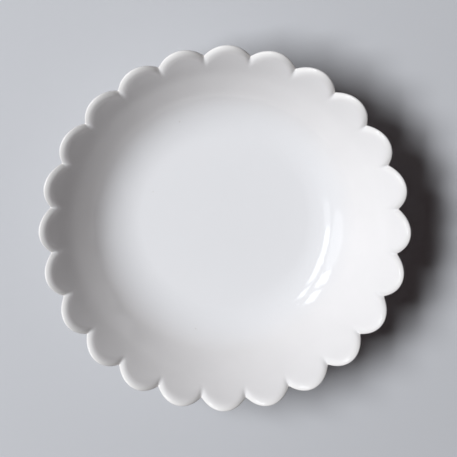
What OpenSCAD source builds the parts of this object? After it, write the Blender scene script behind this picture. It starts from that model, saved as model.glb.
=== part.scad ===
// Scalloped bowl: a glazed ceramic bowl whose sloping wall ends in a ring of round petals.
// The bowl stands on the table at z = 0, centred on the z axis, with one petal tip towards +x.

/* [Bowl] */
// Diameter across the tips of the petals
rim_d = 230; // [190:1:280]
// Height of the petal tips above the table
bowl_h = 56; // [48:1:70]
// Slope of the wall at the rim, in degrees from level
wall_slope = 54; // [50:0.5:57]
// Radius of the wall's slight curve, from the cove up to the rim
wall_curve = 300; // [200:10:600]
// Radius of the cove between floor and wall, inside
cove_r = 44; // [30:1:50]
// Thickness of the floor
floor_t = 5.5; // [4:0.1:8]
// Thickness of the wall
wall_t = 3.5; // [3.2:0.1:6]

/* [Lip] */
// Radius of the soft inner edge of the lip
lip_in_r = 4.5; // [2:0.1:5]
// Radius of the crisp outer edge of the lip
lip_out_r = 0.9; // [0.5:0.1:1]
// Lean of the lip's flat top towards the inside, in degrees from level
lip_lean = 6; // [2:1:12]

/* [Petals] */
// Number of petals round the rim
petals = 24; // [18:1:32]
// Depth of each notch between two petals, seen from above
notch_depth = 5.7; // [4:0.1:9]
// Radius of the curve at the bottom of each notch, seen from above
notch_r = 0.6; // [0.4:0.1:2]

/* [Foot ring] */
// How far the foot ring reaches out beyond the flat part of the floor
foot_reach = 7.5; // [2:0.5:12]
// Width of the foot ring where it joins the floor
foot_w = 6; // [4:0.1:9]
// Width of the flat standing face
stand_w = 3; // [2:0.1:4]
// Height of the foot ring, which is the depth of the recess inside it
foot_h = 5; // [3:0.1:8]

/* [Detail] */
// Points along the round edge of each petal
petal_steps = 10; // [6:1:12]
// Points round the bottom of each notch
notch_steps = 4; // [2:1:4]
// Most degrees between two points of the cove's and the wall's profile
cove_step = 3; // [1:1:6]
// Most degrees between two points of the lip's rounded edges
lip_step = 30; // [26:1:45]

/* [Hidden] */

glaze_white = "#eceded";
bare_clay = "#d9cfbe";

// Profile of the lip at a petal tip, as points [u, n]: u runs up along the wall and n square to it,
// towards the inside. An arc about [0, in_n] and one about [out_u, out_n] are joined by the flat top.
half_t = wall_t / 2;
in_n = half_t - lip_in_r;
out_n = lip_out_r - half_t;
top_turn = wall_slope - lip_lean;
out_u = (lip_in_r - lip_out_r - (out_n - in_n) * cos(top_turn)) / sin(top_turn);
edge_u = out_u + lip_out_r;

function lip_arc(centre, radius, from, to) =
    let(steps = ceil((to - from) / lip_step))
    [for (i = [0 : steps])
        let(a = from + (to - from) * i / steps)
        centre + radius * [sin(a), cos(a)]];

lip = concat(
    lip_arc([0, in_n], lip_in_r, 0, top_turn),
    lip_arc([out_u, out_n], lip_out_r, top_turn, 180));

// Place on the middle of the wall where the lip starts, from the bowl's overall size
lip_r = rim_d / 2 - lip_out_r - out_u * cos(wall_slope) + out_n * sin(wall_slope);
lip_z = bowl_h - lip_out_r - out_u * sin(wall_slope) - out_n * cos(wall_slope);

// Inside of the bowl: a flat floor, a round cove and the wall's slight curve, each tangent to the next
floor_z = foot_h + floor_t;
cove_z = floor_z + cove_r;
mid_cove_r = cove_r + half_t;
// Centre [r, z] of the wall's curve
wall_c = [lip_r - wall_curve * sin(wall_slope), lip_z + wall_curve * cos(wall_slope)];
// Slope and radius at which the middle of the cove turns into the wall
turn_slope = acos((wall_c.y - cove_z) / (wall_curve - mid_cove_r));
floor_r = wall_c.x + (wall_curve - mid_cove_r) * sin(turn_slope);
wall_r = floor_r + mid_cove_r * sin(turn_slope);

// Slope and height of the middle of the wall at a distance r from the axis
function slope_at(r) = r > wall_r ? asin((r - wall_c.x) / wall_curve) : asin((r - floor_r) / mid_cove_r);
function mid_z(r) = r > wall_r
    ? wall_c.y - wall_curve * cos(slope_at(r))
    : cove_z - mid_cove_r * cos(slope_at(r));
// A point [r, z] at a height h above the middle of the wall, square to it
function off_mid(r, h) = [r - h * sin(slope_at(r)), mid_z(r) + h * cos(slope_at(r))];

// Outline of the rim in plan, round the end of the wall: each petal is an arc about a centre near
// the rim, and a small arc joins it to the next petal at the bottom of the notch.
pitch = 360 / petals;
edge_r = lip_r + edge_u * cos(wall_slope);
notch_c = edge_r - notch_depth + notch_r;
tip_gap = edge_r - notch_c * cos(pitch / 2);
notch_side = notch_c * sin(pitch / 2);
petal_r = (pow(tip_gap, 2) + pow(notch_side, 2) - pow(notch_r, 2)) / (2 * (notch_r + tip_gap));
petal_c = edge_r - petal_r;
// Half of the angle that a petal's arc and a notch's arc each turn through
petal_turn = atan2(notch_side, petal_r - tip_gap);
notch_turn = petal_turn - pitch / 2;

// Round the rim the body gives way to the petals at the circle through the petals' centres.
joint_r = petal_c;
wall_steps = ceil((slope_at(joint_r) - turn_slope) / cove_step);
pitch_steps = petal_steps + notch_steps;
rim_steps = petals * pitch_steps;
// Rings of points on the band between that circle and the lip
band_rings = 3;

function polar(r, angle) = r * [cos(angle), sin(angle)];

// Step number i along the outline, moved inwards by d: first a petal's arc, then a notch's
function outline(i, d) =
    let(k = floor(i / pitch_steps), j = i % pitch_steps)
    j < petal_steps
        ? polar(petal_c, k * pitch)
          + polar(petal_r - d, k * pitch + petal_turn * (2 * j / petal_steps - 1))
        : polar(notch_c, (k + 0.5) * pitch)
          - polar(notch_r + d, (k + 0.5) * pitch + notch_turn * (1 - 2 * (j - petal_steps) / notch_steps));

// The same step on the joint circle. The points lie a hair outside the true circle, so that the
// straight lines between them touch the body and don't cut into it.
function joint_point(i) =
    polar(joint_r / cos(180 / rim_steps), pitch * (i - petal_steps / 2) / pitch_steps);

// A point of the rim: a place in plan on the middle of the wall, raised by h square to the wall
function raised(p, h) = let(r = norm(p), q = off_mid(r, h)) [p.x * q[0] / r, p.y * q[0] / r, q[1]];

// One ring of the rim: share 0 is the joint circle, share 1 the outline moved inwards by d
function rim_ring(share, d, h) =
    [for (i = [0 : rim_steps - 1]) raised((1 - share) * joint_point(i) + share * outline(i, d), h)];

// How far a place u on the lip's profile lies inside the outline, in plan
function inset(u) = (edge_u - u) * cos(wall_slope);

// Rings from the joint outwards on top, round the lip and back underneath
rim_rings = concat(
    [for (b = [0 : band_rings - 1]) rim_ring(b / band_rings, inset(0), half_t)],
    [for (p = lip) rim_ring(1, inset(p[0]), p[1])],
    [for (b = [band_rings - 1 : -1 : 0]) rim_ring(b / band_rings, inset(out_u), -half_t)]);

// Closed skin over rings of equal length, the last ring joined to the first
module ring_skin(rings) {
    n = len(rings[0]);
    m = len(rings);
    points = [for (ring = rings) each ring];
    faces = [for (k = [0 : m - 1], i = [0 : n - 1])
        let(here = k * n, there = (k + 1) % m * n, j = (i + 1) % n)
        each [[here + i, here + j, there + j], [here + i, there + j, there + i]]];
    polyhedron(points, faces);
}

// Arc of the cove's profile, about the cove's centre, between two slopes of the surface
function cove_arc(radius, from, to) =
    let(steps = ceil(abs(to - from) / cove_step))
    [for (i = [0 : steps])
        let(a = from + (to - from) * i / steps)
        [floor_r + radius * sin(a), cove_z - radius * cos(a)]];

// Step number i on the wall's profile, from the cove to the joint, at a height h above its middle
function wall_point(i, h) = off_mid(wall_r + (joint_r - wall_r) * i / wall_steps, h);

foot_r = floor_r + foot_reach;
outer_cove_r = cove_r + wall_t;
// Slope of the outside where it meets the foot ring's outer side
foot_slope = asin(foot_reach / outer_cove_r);

// Floor, cove and wall, up to the petals
module bowl_body() {
    color(glaze_white)
    rotate_extrude()
    polygon(concat(
        [[0, foot_h], [foot_r, foot_h]],
        cove_arc(outer_cove_r, foot_slope, turn_slope),
        [for (i = [1 : wall_steps]) wall_point(i, -half_t)],
        [for (i = [wall_steps : -1 : 1]) wall_point(i, half_t)],
        cove_arc(cove_r, turn_slope, 0),
        [[0, floor_z]]));
}

// Ring of petals with the lip round their edge
module scalloped_rim() {
    color(glaze_white)
    ring_skin(rim_rings);
}

// Ring under the floor that the bowl stands on, with sides that lean in towards a flat standing face
module foot_ring() {
    lean = (foot_w - stand_w) / 2;
    color(bare_clay)
    rotate_extrude()
    polygon([
        [foot_r - foot_w, foot_h],
        [foot_r - foot_w + lean, 0],
        [foot_r - lean, 0],
        [foot_r, foot_h]]);
}

bowl_body();
scalloped_rim();
foot_ring();
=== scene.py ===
import math

import bpy
import numpy as np
from mathutils import Matrix, Vector, noise


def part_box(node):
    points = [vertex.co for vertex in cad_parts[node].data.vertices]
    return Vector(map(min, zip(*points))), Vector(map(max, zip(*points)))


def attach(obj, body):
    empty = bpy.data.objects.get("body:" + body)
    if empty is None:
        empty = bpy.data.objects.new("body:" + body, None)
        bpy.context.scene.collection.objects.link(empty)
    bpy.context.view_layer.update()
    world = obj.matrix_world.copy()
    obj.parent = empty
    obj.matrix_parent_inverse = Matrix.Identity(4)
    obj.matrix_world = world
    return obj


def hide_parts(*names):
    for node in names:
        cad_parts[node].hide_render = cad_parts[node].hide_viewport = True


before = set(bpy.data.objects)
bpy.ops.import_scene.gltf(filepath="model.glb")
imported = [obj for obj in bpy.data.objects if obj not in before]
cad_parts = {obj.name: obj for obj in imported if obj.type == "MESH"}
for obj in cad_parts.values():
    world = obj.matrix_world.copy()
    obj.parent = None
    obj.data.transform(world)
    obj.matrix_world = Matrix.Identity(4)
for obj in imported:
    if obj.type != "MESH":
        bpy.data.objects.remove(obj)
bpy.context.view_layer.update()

MM = 0.001

# Sizes of the bowl, in metres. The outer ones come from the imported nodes, and the others are those of
# the CAD model.
RIM_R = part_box("scalloped_rim")[1].x
BOWL_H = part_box("scalloped_rim")[1].z
FOOT_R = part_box("foot_ring")[1].x
FOOT_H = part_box("foot_ring")[1].z
FLOOR_T = 5.5 * MM
COVE_R = 44 * MM
WALL_T = 3.5 * MM
WALL_SLOPE = math.radians(54)
WALL_CURVE = 300 * MM
FOOT_W = 6 * MM
STAND_W = 3 * MM

# Lip: a soft inner edge, a flat top that leans inwards a little, and a crisp outer edge. The soft edge
# starts LIP_BLEND down the wall, and hugs its corner by the share LIP_PULL.
LIP_IN_R = 4.5 * MM
LIP_OUT_R = 0.9 * MM
LIP_LEAN = math.radians(6)
LIP_BLEND = 3.5 * MM
LIP_PULL = 0.76

# Petals, as seen from above, and the short crease that runs inwards from each notch
PETALS = 24
NOTCH_DEPTH = 5.7 * MM
NOTCH_R = 0.6 * MM
CREASE_DEPTH = 0.7 * MM
CREASE_L = 7 * MM
CREASE_W = 1.4 * MM

# The glaze stops short of the standing face, with a rounded edge, and leaves the foot's clay bare. Inside,
# a painted cool tint for the bluish daylight is full up to a first height above the floor, and gone from a
# second on.
GLAZE_T = 0.3 * MM
GLAZE_LINE_Z = 1.5 * MM
GLAZE_EDGE_R = 0.45 * GLAZE_T
PAINTED_DAYLIGHT_FULL = 0.5 * MM
PAINTED_DAYLIGHT_END = 14 * MM

# Rounded corners round the foot, and the gap between its clay and the glaze. The outer cove ends
# FOOT_FILLET_REACH outside the foot, which leaves room for the fillet there.
FOOT_FILLET = 2.5 * MM
FOOT_FILLET_REACH = 3 * MM
RECESS_FILLET = 2 * MM
CLAY_TOP_R = 0.2 * MM
CLAY_STAND_R = 0.6 * MM
CLAY_GAP = 0.02 * MM

# Unevenness of a glazed pot. The hollow round the inside of the wall deepens between the first two radii
# and ends between the last two. The surface's noise is given as heights with waves per metre, and fades
# in between two heights above the standing face.
HOLLOW_DEPTH = 0.7 * MM
HOLLOW_DEEPENS = 55 * MM, 92 * MM
HOLLOW_ENDS = 94 * MM, 106 * MM
SURFACE_NOISE = ((0.10 * MM, 16), (0.014 * MM, 70))
NOISE_FADES_IN = 6 * MM, 10 * MM

# Waves round the bowl, each with its height, its number and its phase, in the rim and in the glaze's edge
RIM_WARP = ((0.22 * MM, 2, 0.6), (0.12 * MM, 5, 1.9))
GLAZE_EDGE_WAVES = ((0.11 * MM, 3, 0.7), (0.077 * MM, 7, 2.1), (0.055 * MM, 13, 0))
GLAZE_EDGE_TOP = GLAZE_LINE_Z + 0.7 * MM

# Mesh points along one petal's edge and round one notch. Their number round the bowl halves from the rim
# to the wall, from there to the cove, and on towards the middle of the floor.
PETAL_STEPS = 22
NOTCH_STEPS = 10
RIM_STEPS = PETALS * (PETAL_STEPS + NOTCH_STEPS)
WALL_STEPS = RIM_STEPS // 2
COVE_STEPS = RIM_STEPS // 4
# Rings on the floor, each with its share of the floor's radius and its number of points
FLOOR_RINGS = ((0.06, 12), (0.16, 24), (0.3, 48), (0.48, 96), (0.66, 96), (0.84, 96))
# Numbers of spans between rings along the profile, and the widest step round a corner
COVE_SPANS = 24
OUTER_COVE_SPANS = 16
WALL_SPANS = 8
BAND_SPANS = 12
LIP_IN_SPANS = 20
LIP_OUT_SPANS = 14
CORNER_STEP = math.radians(18)

# The clay is toasted for a depth below the glaze line, and worn up to a height above its standing face.
TOASTED_DEPTH = 0.8 * MM
WORN_FULL = 0.05 * MM
WORN_END = 0.25 * MM

# Colours, and how strongly some of them show
GLAZE = (0.717, 0.695, 0.682, 1)
GLAZE_SHADE = (0.698, 0.677, 0.664, 1)
# Painted cool tint for the bluish daylight on the floor
GLAZE_PAINTED_DAYLIGHT = (0.692, 0.686, 0.688, 1)
# The lip's ivory thin glaze, also painted lighter where the lip catches more light
GLAZE_THIN_LIP_AND_PAINTED_LIGHT = (0.745, 0.721, 0.691, 1)
# Painted shade in the creases
GLAZE_PAINTED_CREASE_SHADE = (0.65, 0.645, 0.65, 1)
GLAZE_SPECK = (0.42, 0.36, 0.29, 1)
CLAY = (0.66, 0.59, 0.49, 1)
CLAY_SHADE = (0.55, 0.48, 0.38, 1)
CLAY_SPECK = (0.33, 0.27, 0.2, 1)
CLAY_TOASTED = (0.52, 0.37, 0.25, 1)
CLAY_WORN = (0.42, 0.39, 0.35, 1)
STUDIO_FLOOR = (0.5, 0.5, 0.51, 1)
STUDIO_WORLD = (0.036, 0.026, 0.027, 1)
DAYLIGHT = (0.95, 0.985, 1.03)
PAINTED_DAYLIGHT_STRENGTH = 0.8
PAINTED_CREASE_SHADE_STRENGTH = 0.5
TOASTED_STRENGTH = 0.65
WORN_STRENGTH = 0.5

# Gloss of the glaze and of the studio's floor
GLAZE_IOR = 1.52
STUDIO_ROUGHNESS = 0.9


# Profile of the lip: u runs up along the wall and n square to it, towards the inside

HALF_T = WALL_T / 2
IN_N = HALF_T - LIP_IN_R
OUT_N = LIP_OUT_R - HALF_T
TOP_TURN = WALL_SLOPE - LIP_LEAN
OUT_U = (LIP_IN_R - LIP_OUT_R - (OUT_N - IN_N) * math.cos(TOP_TURN)) / math.sin(TOP_TURN)
EDGE_U = OUT_U + LIP_OUT_R


def lip_arc(u, n, radius, start, end, spans):
    """Places [u, n] on an arc about a centre, between two directions."""
    turn = np.linspace(start, end, spans + 1)
    return np.stack([u + radius * np.sin(turn), n + radius * np.cos(turn)], 1)


def bend(start, corner, end, pull, spans):
    """Places on a smooth bend from start to just before end, which hugs the corner by the share pull."""
    share = np.linspace(0, 1, spans, endpoint=False)[:, None]
    leaving = start + pull * (corner - start)
    arriving = end + pull * (corner - end)
    middle = (1 - share) * leaving + share * arriving
    return (1 - share) ** 3 * start + 3 * share * (1 - share) * middle + share**3 * end


def lip_profile():
    """Places [u, n] round the lip, each with its share of the lip's ivory thin glaze and painted lighter
    tone.
    """
    outer = lip_arc(OUT_U, OUT_N, LIP_OUT_R, TOP_TURN, math.pi, LIP_OUT_SPANS)
    start = np.array([-LIP_BLEND, HALF_T])
    corner = np.array([LIP_IN_R * math.tan(TOP_TURN / 2), HALF_T])
    inner = bend(start, corner, outer[0], LIP_PULL, LIP_IN_SPANS)
    tint_rising = np.linspace(0, 1, LIP_IN_SPANS, endpoint=False) ** 2
    tint_falling = np.linspace(1, 0, len(outer))
    return np.concatenate([inner, outer]), np.concatenate([tint_rising, tint_falling])


def inset(u):
    """How far a place u on the lip's profile lies inside the outline, in plan."""
    return (EDGE_U - u) * math.cos(WALL_SLOPE)


# Shape of the wall: a flat floor, a round cove and the wall's slight curve, each tangent to the next

LIP_R = RIM_R - LIP_OUT_R - OUT_U * math.cos(WALL_SLOPE) + OUT_N * math.sin(WALL_SLOPE)
LIP_Z = BOWL_H - LIP_OUT_R - OUT_U * math.sin(WALL_SLOPE) - OUT_N * math.cos(WALL_SLOPE)
FLOOR_Z = FOOT_H + FLOOR_T
COVE_Z = FLOOR_Z + COVE_R
MID_COVE_R = COVE_R + HALF_T
WALL_C_R = LIP_R - WALL_CURVE * math.sin(WALL_SLOPE)
WALL_C_Z = LIP_Z + WALL_CURVE * math.cos(WALL_SLOPE)
TURN_SLOPE = math.acos((WALL_C_Z - COVE_Z) / (WALL_CURVE - MID_COVE_R))
FLOOR_R = WALL_C_R + (WALL_CURVE - MID_COVE_R) * math.sin(TURN_SLOPE)
WALL_R = FLOOR_R + MID_COVE_R * math.sin(TURN_SLOPE)


def on_wall(r, height):
    """Places [r, z] at a height above the middle of the wall, square to it, for radii r."""
    centre_r = np.where(r > WALL_R, WALL_C_R, FLOOR_R)
    centre_z = np.where(r > WALL_R, WALL_C_Z, COVE_Z)
    radius = np.where(r > WALL_R, WALL_CURVE, MID_COVE_R)
    slope = np.arcsin(np.clip((r - centre_r) / radius, 0, 1))
    return r - height * np.sin(slope), centre_z - (radius - height) * np.cos(slope)


def cove_arc(radius, start, end, spans):
    """Profile points [r, z] on an arc about the cove's centre, between two slopes."""
    slope = np.linspace(start, end, spans + 1)
    return np.stack([FLOOR_R + radius * np.sin(slope), COVE_Z - radius * np.cos(slope)], 1)


# Outline of the rim round the end of the wall: a petal's arc, then a small arc in the notch

PITCH = 2 * math.pi / PETALS
EDGE_R = LIP_R + EDGE_U * math.cos(WALL_SLOPE)
NOTCH_C = EDGE_R - NOTCH_DEPTH + NOTCH_R
TIP_GAP = EDGE_R - NOTCH_C * math.cos(PITCH / 2)
NOTCH_SIDE = NOTCH_C * math.sin(PITCH / 2)
PETAL_R = (TIP_GAP**2 + NOTCH_SIDE**2 - NOTCH_R**2) / (2 * (NOTCH_R + TIP_GAP))
PETAL_C = EDGE_R - PETAL_R
PETAL_TURN = math.atan2(NOTCH_SIDE, PETAL_R - TIP_GAP)
NOTCH_TURN = PETAL_TURN - PITCH / 2


def turned(points, angle):
    """Places in plan, as complex numbers x + iy, turned about the bowl's axis."""
    return points * np.exp(1j * angle)


def outline(distance):
    """The outline moved inwards by a distance, as complex numbers x + iy."""
    petal_share = np.arange(PETAL_STEPS) / PETAL_STEPS
    notch_share = np.arange(NOTCH_STEPS) / NOTCH_STEPS
    petal = PETAL_C + (PETAL_R - distance) * np.exp(1j * PETAL_TURN * (2 * petal_share - 1))
    notch = NOTCH_C - (NOTCH_R + distance) * np.exp(1j * NOTCH_TURN * (1 - 2 * notch_share))
    one = np.concatenate([petal, turned(notch, PITCH / 2)])
    return np.concatenate([turned(one, k * PITCH) for k in range(PETALS)])


def circle(radius, count):
    """Points on a circle, in step with those of the outline."""
    phase = -PITCH * PETAL_STEPS / 2 / (PETAL_STEPS + NOTCH_STEPS)
    return radius * np.exp(1j * (phase + 2 * math.pi * np.arange(count) / count))


def crease(plan):
    """How deep each place in plan lies in the crease of the nearest notch, from 0 to 1."""
    r = np.abs(plan)
    aside = r * np.sin(((np.angle(plan) / PITCH) % 1 - 0.5) * PITCH)
    start = EDGE_R - NOTCH_DEPTH - CREASE_L
    along = np.clip((r - start) / CREASE_L, 0, 1)
    return along**2 * np.exp(-((aside / CREASE_W) ** 2))


# Rings of points

def lifted(plan, n):
    """Points over places in plan on the middle of the wall, raised by n square to it, with the creases."""
    r = np.abs(plan)
    towards_inside = np.clip(0.5 + n / WALL_T, 0, 1)
    new_r, z = on_wall(r, n - CREASE_DEPTH * crease(plan) * towards_inside)
    plan = plan * new_r / r
    return np.stack([plan.real, plan.imag, z], 1)


def flat_ring(r, z, count):
    """Points on a level circle."""
    plan = circle(r, count)
    return np.stack([plan.real, plan.imag, np.full(count, z)], 1)


def band(lip_u, n, shares):
    """Rings between the circle through the petals' centres (share 0) and the lip at lip_u (share 1)."""
    joint = circle(PETAL_C, RIM_STEPS)
    lip = outline(inset(lip_u))
    return [lifted((1 - share) * joint + share * lip, n) for share in shares]


def wall(n, shares):
    """Rings between the cove (share 0) and the circle through the petals' centres (share 1)."""
    return [lifted(circle(WALL_R + share * (PETAL_C - WALL_R), WALL_STEPS), n) for share in shares]


def rounded(path):
    """Profile points of a path of corners (r, z, radius), with each corner rounded to its radius."""
    points = []
    for i, (r, z, radius) in enumerate(path):
        here = np.array([r, z])
        if radius == 0 or i in (0, len(path) - 1):
            points.append(here)
            continue
        back = np.array(path[i - 1][:2]) - here
        ahead = np.array(path[i + 1][:2]) - here
        back /= np.linalg.norm(back)
        ahead /= np.linalg.norm(ahead)
        corner = math.acos(np.clip(back @ ahead, -1, 1))
        reach = radius / math.tan(corner / 2)
        centre = here + (back + ahead) / np.linalg.norm(back + ahead) * radius / math.sin(corner / 2)
        start = here + back * reach - centre
        end = here + ahead * reach - centre
        turn = math.pi - corner
        steps = max(2, math.ceil(turn / CORNER_STEP))
        for step in range(steps + 1):
            share = step / steps
            mix = (math.sin((1 - share) * turn) * start + math.sin(share * turn) * end) / math.sin(turn)
            points.append(centre + mix)
    return np.array(points)


# Meshes

def strip(a, b):
    """Faces between two rings of indices. One may be a single point, or have half as many as the other."""
    if len(a) < len(b):
        return [face[::-1] for face in strip(b, a)]
    n = len(a)
    if len(b) == 1:
        return [(a[i], b[0], a[(i + 1) % n]) for i in range(n)]
    if len(b) == n:
        return [(a[i], b[i], b[(i + 1) % n], a[(i + 1) % n]) for i in range(n)]
    faces = []
    for i in range(len(b)):
        left, middle, right = a[2 * i], a[2 * i + 1], a[(2 * i + 2) % n]
        near, far = b[i], b[(i + 1) % len(b)]
        faces += [(left, near, middle), (middle, near, far), (middle, far, right)]
    return faces


def mesh_of_rings(name, rings, closed=False):
    """A smooth mesh over rings of points. In a closed one the last ring joins the first."""
    starts = np.cumsum([0] + [len(ring) for ring in rings])
    numbers = [list(range(a, b)) for a, b in zip(starts[:-1], starts[1:])]
    following = numbers[1:] + numbers[:1] if closed else numbers[1:]
    faces = []
    for here, there in zip(numbers, following):
        faces += strip(here, there)
    mesh = bpy.data.meshes.new(name)
    mesh.from_pydata(np.concatenate(rings).tolist(), [], faces)
    mesh.validate()
    mesh.shade_smooth()
    return mesh


def piece(name, mesh, material, slot, *nodes):
    """Links a finished mesh as a piece of the bowl that stands for CAD nodes."""
    mesh.materials.append(material)
    made = bpy.data.objects.new(name, mesh)
    bpy.context.scene.collection.objects.link(made)
    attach(made, "root")
    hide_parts(*nodes)


# Shader nodes

# Sockets that the Mix node uses for colours
MIX_FACTOR, MIX_FIRST, MIX_SECOND, MIX_RESULT = 0, 6, 7, 2

# Range that the values of the noise node mostly keep to
NOISE_RANGE = 0.3, 0.7

# Share of a speck's radius at its full strength, and the width of the step that picks the specks' cells
SPECK_CORE = 0.6
PICK_STEP = 0.01


def new_material(name):
    """A new material, with its nodes and its shader."""
    material = bpy.data.materials.new(name)
    material.use_nodes = True
    return material, material.node_tree, material.node_tree.nodes["Principled BSDF"]


def feed(tree, socket, value):
    """Links an input socket to another node's output, or sets it to a value."""
    if isinstance(value, bpy.types.NodeSocket):
        tree.links.new(value, socket)
    else:
        socket.default_value = value


def add(tree, kind, settings=None, **inputs):
    """Adds a node. Inputs are named with _ for spaces, and are values or other nodes' outputs."""
    made = tree.nodes.new("ShaderNode" + kind)
    for key, value in (settings or {}).items():
        setattr(made, key, value)
    for key, value in inputs.items():
        feed(tree, made.inputs[key.replace("_", " ")], value)
    return made


def object_place(tree):
    return add(tree, "TexCoord").outputs["Object"]


def attribute(tree, name):
    return add(tree, "Attribute", {"attribute_name": name}).outputs["Fac"]


def spread(tree, value, start, end, low, high):
    """A value's range from start to end, mapped to low to high."""
    made = add(tree, "MapRange", Value=value, From_Min=start, From_Max=end, To_Min=low, To_Max=high)
    return made.outputs["Result"]


def times(tree, first, second):
    made = add(tree, "Math", {"operation": "MULTIPLY"})
    feed(tree, made.inputs[0], first)
    feed(tree, made.inputs[1], second)
    return made.outputs[0]


def blend(tree, factor, first, second):
    """A mix of two colours, each given as a colour or as another node's output."""
    made = add(tree, "Mix", {"data_type": "RGBA"})
    feed(tree, made.inputs[MIX_FACTOR], factor)
    feed(tree, made.inputs[MIX_FIRST], first)
    feed(tree, made.inputs[MIX_SECOND], second)
    return made.outputs[MIX_RESULT]


def grain(tree, scale, detail, low=0, high=1):
    """Soft noise in object space, with a scale in waves per metre, from low to high."""
    wave = add(tree, "TexNoise", Vector=object_place(tree), Scale=scale, Detail=detail).outputs["Fac"]
    return spread(tree, wave, *NOISE_RANGE, low, high)


def specks(tree, scale, radius, share, strength):
    """Sparse round specks of a strength. The radius is in cells, and share is the part of cells used."""
    cells = add(tree, "TexVoronoi", Vector=object_place(tree), Scale=scale)
    near = spread(tree, cells.outputs["Distance"], SPECK_CORE * radius, radius, 1, 0)
    pick = add(tree, "SeparateColor", Color=cells.outputs["Color"]).outputs[0]
    chosen = spread(tree, pick, 1 - share, 1 - share + PICK_STEP, 0, 1)
    return times(tree, times(tree, near, chosen), strength)


def bump(tree, shader, height, depth):
    """Raises the shader's surface by a height from 0 to 1, times a depth in metres."""
    made = add(tree, "Bump", Height=height, Distance=depth, Strength=1.0)
    feed(tree, shader.inputs["Normal"], made.outputs["Normal"])


# Materials

def white_glaze():
    """Glossy white glaze with a few specks, a painted cool tint for the bluish daylight on the floor, an
    ivory lip where the glaze thins that is also painted lighter where it catches light, and painted shade
    in the creases."""
    material, tree, shader = new_material("white_glaze")
    painted_daylight = times(tree, attribute(tree, "painted_daylight"), PAINTED_DAYLIGHT_STRENGTH)
    crease_shade = times(tree, attribute(tree, "crease"), PAINTED_CREASE_SHADE_STRENGTH)
    dots = specks(tree, scale=70, radius=0.03, share=0.25, strength=0.6)
    colour = blend(tree, grain(tree, scale=45, detail=3), GLAZE, GLAZE_SHADE)
    # Painted cool tint for the bluish daylight on the floor
    colour = blend(tree, painted_daylight, colour, GLAZE_PAINTED_DAYLIGHT)
    # The lip: ivory where its glaze thins, and painted lighter where it catches more light
    colour = blend(tree, attribute(tree, "lip"), colour, GLAZE_THIN_LIP_AND_PAINTED_LIGHT)
    # Painted shade in the creases
    colour = blend(tree, crease_shade, colour, GLAZE_PAINTED_CREASE_SHADE)
    colour = blend(tree, dots, colour, GLAZE_SPECK)
    feed(tree, shader.inputs["Base Color"], colour)
    feed(tree, shader.inputs["Roughness"], grain(tree, scale=130, detail=4, low=0.045, high=0.085))
    feed(tree, shader.inputs["IOR"], GLAZE_IOR)
    bump(tree, shader, grain(tree, scale=260, detail=2), depth=0.012 * MM)
    return material


def bare_clay():
    """Matt fired clay, with sandy grain, a toasted edge at the glaze line and a worn standing face."""
    material, tree, shader = new_material("bare_clay")
    height = add(tree, "SeparateXYZ", Vector=object_place(tree)).outputs["Z"]
    dots = specks(tree, scale=650, radius=0.3, share=0.3, strength=0.5)
    toasted = spread(tree, height, GLAZE_LINE_Z - TOASTED_DEPTH, GLAZE_LINE_Z, 0, TOASTED_STRENGTH)
    near_bottom = spread(tree, height, WORN_FULL, WORN_END, WORN_STRENGTH, 0)
    worn = times(tree, near_bottom, grain(tree, scale=90, detail=4))
    colour = blend(tree, grain(tree, scale=400, detail=5), CLAY, CLAY_SHADE)
    colour = blend(tree, dots, colour, CLAY_SPECK)
    colour = blend(tree, toasted, colour, CLAY_TOASTED)
    colour = blend(tree, worn, colour, CLAY_WORN)
    feed(tree, shader.inputs["Base Color"], colour)
    feed(tree, shader.inputs["Roughness"], grain(tree, scale=500, detail=3, low=0.68, high=0.92))
    bump(tree, shader, grain(tree, scale=1400, detail=5), depth=0.12 * MM)
    return material


# The glazed bowl

FOOT_LEAN = (FOOT_W - STAND_W) / 2 / FOOT_H


def foot_sides(z):
    """Inner and outer radius of the foot at a height."""
    return FOOT_R - FOOT_W + FOOT_LEAN * (FOOT_H - z), FOOT_R - FOOT_LEAN * (FOOT_H - z)


def underside():
    """Profile from the outer cove, round the foot with the groove for its clay, to the recess inside it."""
    outer_r = COVE_R + WALL_T
    foot_slope = math.asin((FOOT_R - FLOOR_R) / outer_r)
    fillet_slope = math.asin((FOOT_R + FOOT_FILLET_REACH - FLOOR_R) / outer_r)
    cove = cove_arc(outer_r, TURN_SLOPE, fillet_slope, OUTER_COVE_SPANS)
    corner_z = COVE_Z - outer_r * math.cos(foot_slope)
    inner, outer = foot_sides(GLAZE_LINE_Z)
    inner_top, outer_top = foot_sides(FOOT_H)
    path = [
        (*cove[-1], 0),
        (foot_sides(corner_z)[1], corner_z, FOOT_FILLET),
        (outer, GLAZE_LINE_Z, GLAZE_EDGE_R),
        (outer - GLAZE_T, GLAZE_LINE_Z, GLAZE_EDGE_R),
        (outer_top - GLAZE_T, FOOT_H, 0),
        (inner_top + GLAZE_T, FOOT_H, 0),
        (inner + GLAZE_T, GLAZE_LINE_Z, GLAZE_EDGE_R),
        (inner, GLAZE_LINE_Z, GLAZE_EDGE_R),
        (inner_top, FOOT_H, RECESS_FILLET),
        (FLOOR_RINGS[-1][0] * FLOOR_R, FOOT_H, 0),
    ]
    return np.concatenate([cove[:-1], rounded(path)])


def smooth_step(values, start, end):
    """0 up to start, 1 from end on, and a smooth rise between them."""
    share = np.clip((values - start) / (end - start), 0, 1)
    return share * share * (3 - 2 * share)


def waves(azimuth, parts):
    """Height of a sum of waves round the bowl."""
    return sum(height * np.sin(count * azimuth + phase) for height, count, phase in parts)


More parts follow.
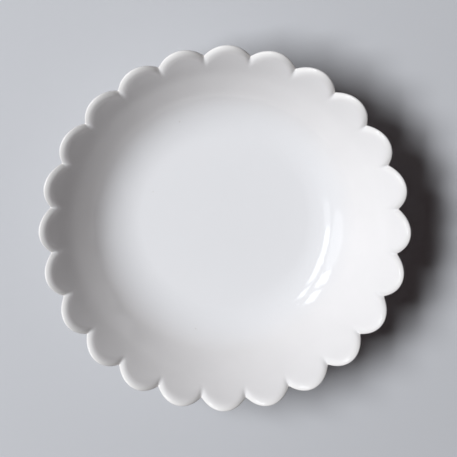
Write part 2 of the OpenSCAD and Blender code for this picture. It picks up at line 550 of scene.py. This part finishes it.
def made_by_hand(mesh, facing_up):
    """Gives the bowl the slight unevenness of a glazed pot, which its mirror images show."""
    count = len(mesh.vertices)
    points = np.empty(3 * count)
    normals = np.empty(3 * count)
    mesh.vertices.foreach_get("co", points)
    mesh.vertex_normals.foreach_get("vector", normals)
    points = points.reshape(-1, 3)
    normals = normals.reshape(-1, 3)
    azimuth = np.arctan2(points[:, 1], points[:, 0])
    r = np.hypot(points[:, 0], points[:, 1])
    z = points[:, 2].copy()

    # Hollow round the inside of the wall
    hollow = smooth_step(r, *HOLLOW_DEEPENS) - smooth_step(r, *HOLLOW_ENDS)
    points -= normals * (HOLLOW_DEPTH * hollow * facing_up)[:, None]

    # Uneven surface above the foot
    start_z, full_z = NOISE_FADES_IN
    above_foot = np.clip((z - start_z) / (full_z - start_z), 0, 1)
    uneven = [sum(h * noise.noise(Vector(p) * scale) for h, scale in SURFACE_NOISE) for p in points]
    points += normals * (np.array(uneven) * above_foot)[:, None]

    # Warped rim, and a wavy lower edge of the glaze
    up_the_wall = np.clip((z - FLOOR_Z) / (BOWL_H - FLOOR_Z), 0, 1)
    points[:, 2] += waves(azimuth, RIM_WARP) * up_the_wall**2
    points[:, 2] += np.where(z < GLAZE_EDGE_TOP, waves(azimuth, GLAZE_EDGE_WAVES), 0)
    mesh.vertices.foreach_set("co", points.ravel())
    mesh.update()


def glazed_bowl():
    wall_shares = np.linspace(0, 1, WALL_SPANS + 1)[1:-1]
    band_shares = np.linspace(0, 1, BAND_SPANS + 1)[:-1]

    inside = [np.array([[0, 0, FLOOR_Z]])]
    inside += [flat_ring(share * FLOOR_R, FLOOR_Z, count) for share, count in FLOOR_RINGS]
    inside += [flat_ring(r, z, COVE_STEPS) for r, z in cove_arc(COVE_R, 0, TURN_SLOPE, COVE_SPANS)]
    inside += wall(HALF_T, wall_shares)
    inside += band(-LIP_BLEND, HALF_T, band_shares)

    profile, lip_tint_and_painted_light = lip_profile()
    lip = [lifted(outline(inset(u)), n) for u, n in profile]

    # The underside ends at the radius of the floor's outermost ring, so the rings inside that one follow
    outside = band(OUT_U, -HALF_T, band_shares[::-1])
    outside += wall(-HALF_T, wall_shares[::-1])
    outside += [flat_ring(r, z, COVE_STEPS) for r, z in underside()]
    outside += [flat_ring(share * FLOOR_R, FOOT_H, count) for share, count in FLOOR_RINGS[-2::-1]]
    outside.append(np.array([[0, 0, FOOT_H]]))

    rings = inside + lip + outside
    mesh = mesh_of_rings("glazed_bowl", rings)

    # Values for the glaze's material: the lip's thin glaze and painted light, painted shade in a crease, or
    # a painted cool daylight tint on the floor
    points = np.concatenate(rings)
    lip_start = sum(len(ring) for ring in inside)
    # Share of the lip's ivory thin glaze and painted lighter tone
    thin_glaze_and_painted_light = np.zeros(len(points))
    thin_glaze_and_painted_light[lip_start:lip_start + len(lip_tint_and_painted_light) * RIM_STEPS] = np.repeat(lip_tint_and_painted_light, RIM_STEPS)
    facing_up = points[:, 2] > on_wall(np.hypot(points[:, 0], points[:, 1]), 0)[1]
    # Painted shade in the creases, carried by the "crease" attribute
    painted_crease_shade = crease(points[:, 0] + 1j * points[:, 1]) * facing_up
    # Painted cool tint for the bluish daylight on the floor, fading out a little way up the wall
    painted_daylight_share = facing_up * (1 - smooth_step(points[:, 2] - FLOOR_Z, PAINTED_DAYLIGHT_FULL, PAINTED_DAYLIGHT_END))
    for name, values in (("lip", thin_glaze_and_painted_light), ("crease", painted_crease_shade), ("painted_daylight", painted_daylight_share)):
        mesh.attributes.new(name, "FLOAT", "POINT").data.foreach_set("value", values.astype(np.float32))
    made_by_hand(mesh, facing_up)
    piece("glazed_bowl", mesh, white_glaze(), "white_glaze", "bowl_body", "scalloped_rim")


# The bare clay of the foot

def clay_foot():
    skin = GLAZE_T + CLAY_GAP
    top = FOOT_H - CLAY_GAP
    inner, outer = foot_sides(0)
    inner_top, outer_top = foot_sides(FOOT_H)
    middle = (inner_top + outer_top) / 2
    path = [
        (middle, top, 0),
        (outer_top - skin, top, CLAY_TOP_R),
        (outer - skin, 0, CLAY_STAND_R),
        (inner + skin, 0, CLAY_STAND_R),
        (inner_top + skin, top, CLAY_TOP_R),
        (middle, top, 0),
    ]
    rings = [flat_ring(r, z, COVE_STEPS) for r, z in rounded(path)[:-1]]
    mesh = mesh_of_rings("clay_foot", rings, closed=True)
    piece("clay_foot", mesh, bare_clay(), "bare_clay", "foot_ring")


# The studio's floor

# How far it reaches from the bowl's axis on each side
STUDIO_REACH = 3.0


def studio_floor():
    sides = ((-1, -1), (1, -1), (1, 1), (-1, 1))
    corners = [(x * STUDIO_REACH, y * STUDIO_REACH, 0) for x, y in sides]
    mesh = bpy.data.meshes.new("studio_floor")
    mesh.from_pydata(corners, [], [(0, 1, 2, 3)])
    material, tree, shader = new_material("studio_floor")
    feed(tree, shader.inputs["Base Color"], STUDIO_FLOOR)
    feed(tree, shader.inputs["Roughness"], STUDIO_ROUGHNESS)
    mesh.materials.append(material)
    floor = bpy.data.objects.new("studio_floor", mesh)
    bpy.context.scene.collection.objects.link(floor)


# Light: a large soft key lamp on the left, and panes of light there that the glaze mirrors

AIM = Vector((0, 0, BOWL_H / 2))

# The key lamp's direction from the bowl, in degrees, and its distance, size and radiance
KEY_AZIMUTH, KEY_POLAR = 168, 37.0
KEY_DISTANCE = 3.2
KEY_WIDTH, KEY_LENGTH = 1.0, 1.8
KEY_RADIANCE = 25.0

# The panes lie in one plane, whose middle is at a distance from the bowl, and which is rolled about the
# line to it. Each pane has its place across and along the plane, width, length, radiance and shape.
PANE_AZIMUTH, PANE_POLAR, PANE_ROLL = 172, 50, 6
PANE_DISTANCE = 1.2
BRIGHT, DIM = 5.0, 1.4
PANES = (
    (0.51, -0.14, 0.19, 0.41, BRIGHT, "RECTANGLE"),
    (0.55, -0.445, 0.25, 0.17, DIM, "RECTANGLE"),
    (0.115, -0.21, 0.45, 0.54, DIM, "ELLIPSE"),
    (0.145, 0.135, 0.29, 0.14, BRIGHT, "RECTANGLE"),
    (0.50, 0.185, 0.145, 0.12, BRIGHT, "RECTANGLE"),
    (0.15, 0.35, 0.24, 0.16, BRIGHT, "RECTANGLE"),
)


def direction(azimuth, polar):
    """Unit vector at an azimuth round the bowl's axis and an angle from that axis, in degrees."""
    a, p = math.radians(azimuth), math.radians(polar)
    return Vector((math.sin(p) * math.cos(a), math.sin(p) * math.sin(a), math.cos(p)))


def facing(place, aim, up):
    """Placement of a lamp at place that looks at aim, with up towards the top of its view."""
    back = (place - aim).normalized()
    right = up.cross(back).normalized()
    turn = Matrix((right, back.cross(right), back)).transposed()
    return Matrix.Translation(place) @ turn.to_4x4()


def lamp(name, placement, width, length, radiance, shape):
    """Area lamp of a size and shape, with the power that gives it a radiance."""
    light = bpy.data.lights.new(name, "AREA")
    light.shape = shape
    light.size, light.size_y = width, length
    area = width * length * (math.pi / 4 if shape == "ELLIPSE" else 1)
    light.energy = radiance * math.pi * area
    light.color = DAYLIGHT
    made = bpy.data.objects.new(name, light)
    made.matrix_world = placement
    bpy.context.scene.collection.objects.link(made)
    return made


def pane_lights():
    """Panes that only show as mirror images. The key lamp gives their light to everything else."""
    centre = direction(PANE_AZIMUTH, PANE_POLAR)
    roll = Matrix.Rotation(math.radians(PANE_ROLL), 3, centre)
    across = roll @ direction(PANE_AZIMUTH, PANE_POLAR - 90)
    along = centre.cross(across)
    for across_place, along_place, width, length, radiance, shape in PANES:
        spot = AIM + PANE_DISTANCE * centre + across_place * across + along_place * along
        pane = lamp("pane", facing(spot, spot - centre, along), width, length, radiance, shape)
        pane.visible_diffuse = False


def key_light():
    """Large soft lamp, high on the left and beyond the panes, which doesn't show in mirror images."""
    spot = AIM + KEY_DISTANCE * direction(KEY_AZIMUTH, KEY_POLAR)
    placement = facing(spot, AIM, Vector((0, 1, 0)))
    key = lamp("key", placement, KEY_WIDTH, KEY_LENGTH, KEY_RADIANCE, "RECTANGLE")
    key.visible_glossy = False


def studio_light():
    pane_lights()
    key_light()
    world = bpy.data.worlds.new("studio")
    bpy.context.scene.world = world
    world.use_nodes = True
    background = world.node_tree.nodes["Background"]
    background.inputs["Color"].default_value = STUDIO_WORLD
    background.inputs["Strength"].default_value = 1.0


# Camera, with the view of the photograph

# Image and focal length in pixels, turns in radians, and the nearest and farthest distance in view
IMAGE_PX = 457
FOCAL_PX = 1300
SENSOR_MM = 36
CAMERA_PLACE = Vector((-30.1, 148.5, 843.0)) * MM
CAMERA_ROLL, CAMERA_TILT, CAMERA_PAN = 0.0112, 0.1831, 0.0381
NEAREST, FARTHEST = 0.01, 20


def photo_camera():
    camera = bpy.data.cameras.new("camera")
    camera.sensor_width = SENSOR_MM
    camera.lens = FOCAL_PX / IMAGE_PX * SENSOR_MM
    camera.clip_start, camera.clip_end = NEAREST, FARTHEST
    made = bpy.data.objects.new("camera", camera)
    turn = Matrix.Rotation(CAMERA_TILT, 3, "X") @ Matrix.Rotation(CAMERA_PAN, 3, "Y")
    turn = Matrix.Rotation(CAMERA_ROLL, 3, "Z") @ turn.transposed()
    made.matrix_world = Matrix.Translation(CAMERA_PLACE) @ turn.to_4x4()
    bpy.context.scene.collection.objects.link(made)
    bpy.context.scene.camera = made


glazed_bowl()
clay_foot()
studio_floor()
studio_light()
photo_camera()
bpy.context.scene.view_settings.view_transform = "Standard"
